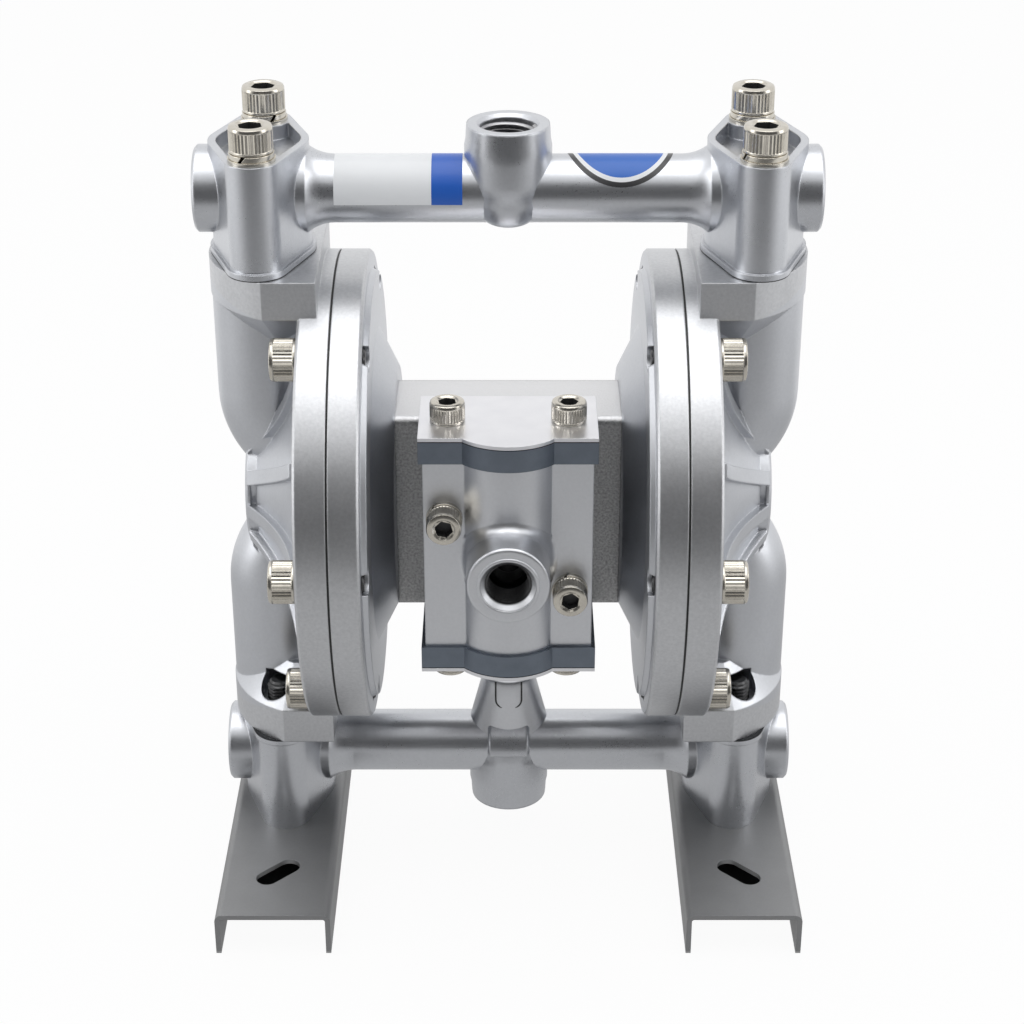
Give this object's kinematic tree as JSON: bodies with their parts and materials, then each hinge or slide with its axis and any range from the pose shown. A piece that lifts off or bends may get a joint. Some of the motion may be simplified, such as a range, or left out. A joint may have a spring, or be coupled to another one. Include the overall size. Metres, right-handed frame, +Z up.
{
  "type": "air operated diaphragm pump",
  "caption": "Air operated double diaphragm pump on folded sheet feet, with cast manifolds, ribbed liquid chambers and a spool air valve with its threaded air inlet in front.",
  "frame": {"origin": "on the floor, under the middle of the pump", "axes": "+Z up, -Y is the front with the air inlet, +X along the manifolds and the centre rod"},
  "size_m": [0.2316, 0.185, 0.3144],
  "materials": {
    "casting": "satin cast surface with machined faces",
    "rough_casting": "rough cast, mottled",
    "cap_block": "satin blue-grey",
    "cover_sheet": "rolled sheet",
    "fastener": "bright plated",
    "foot_sheet": "matt sheet",
    "elastomer": "matt",
    "bright_steel": "ground",
    "disc_metal": "turned",
    "bush_metal": "turned"
  },
  "bodies": {
    "pump": {"air_chamber_left": "casting", "air_chamber_right": "casting", "air_chamber_screws": "fastener", "ball_seats": "bright_steel", "cap_screws_bottom": "fastener", "cap_screws_top": "fastener", "centre_body": "rough_casting", "chamber_bolts_left": "fastener", "chamber_bolts_right": "fastener", "cover_plate_bottom": "cover_sheet", "cover_plate_top": "cover_sheet", "diaphragm_left": "elastomer", "diaphragm_right": "elastomer", "foot_left": "foot_sheet", "foot_right": "foot_sheet", "inlet_manifold": "casting", "inlet_manifold_bolts": "fastener", "inlet_spring_washers": "fastener", "joint_rings": "elastomer", "liquid_chamber_left": "casting", "liquid_chamber_right": "casting", "outlet_flat_washers": "fastener", "outlet_manifold": "casting", "outlet_manifold_bolts": "fastener", "outlet_spring_washers": "fastener", "rod_bushes": "bush_metal", "rod_seals": "elastomer", "valve_body": "casting", "valve_cap_bottom": "cap_block", "valve_cap_top": "cap_block", "valve_gasket": "elastomer", "valve_screw_washers": "fastener", "valve_screws": "fastener", "valve_sleeve": "bush_metal"},
    "rod_set": {"centre_rod": "bright_steel", "inner_disc_left": "disc_metal", "inner_disc_right": "disc_metal", "outer_disc_left": "disc_metal", "outer_disc_right": "disc_metal", "disc_nut_left": "fastener", "disc_nut_right": "fastener"},
    "spool_set": {"valve_spool": "disc_metal", "spool_seals": "elastomer"},
    "outlet_ball_left_body": {"outlet_ball_left": "elastomer"},
    "outlet_ball_right_body": {"outlet_ball_right": "elastomer"},
    "inlet_ball_left_body": {"inlet_ball_left": "elastomer"},
    "inlet_ball_right_body": {"inlet_ball_right": "elastomer"}
  },
  "joints": [
    {"name": "rod_slide", "type": "slide", "parent": "pump", "child": "rod_set", "axis": [1, 0, 0], "range_m": [-0.006, 0.006], "deforming": ["diaphragm_left", "diaphragm_right"]},
    {"name": "spool_slide", "type": "slide", "parent": "pump", "child": "spool_set", "axis": [0, 0, 1], "range_m": [0, 0.01]},
    {"name": "outlet_ball_left_lift", "type": "slide", "parent": "pump", "child": "outlet_ball_left_body", "axis": [0, 0, 1], "range_m": [0, 0.005]},
    {"name": "outlet_ball_right_lift", "type": "slide", "parent": "pump", "child": "outlet_ball_right_body", "axis": [0, 0, 1], "range_m": [0, 0.005]},
    {"name": "inlet_ball_left_lift", "type": "slide", "parent": "pump", "child": "inlet_ball_left_body", "axis": [0, 0, 1], "range_m": [0, 0.005]},
    {"name": "inlet_ball_right_lift", "type": "slide", "parent": "pump", "child": "inlet_ball_right_body", "axis": [0, 0, 1], "range_m": [0, 0.005]}
  ]
}
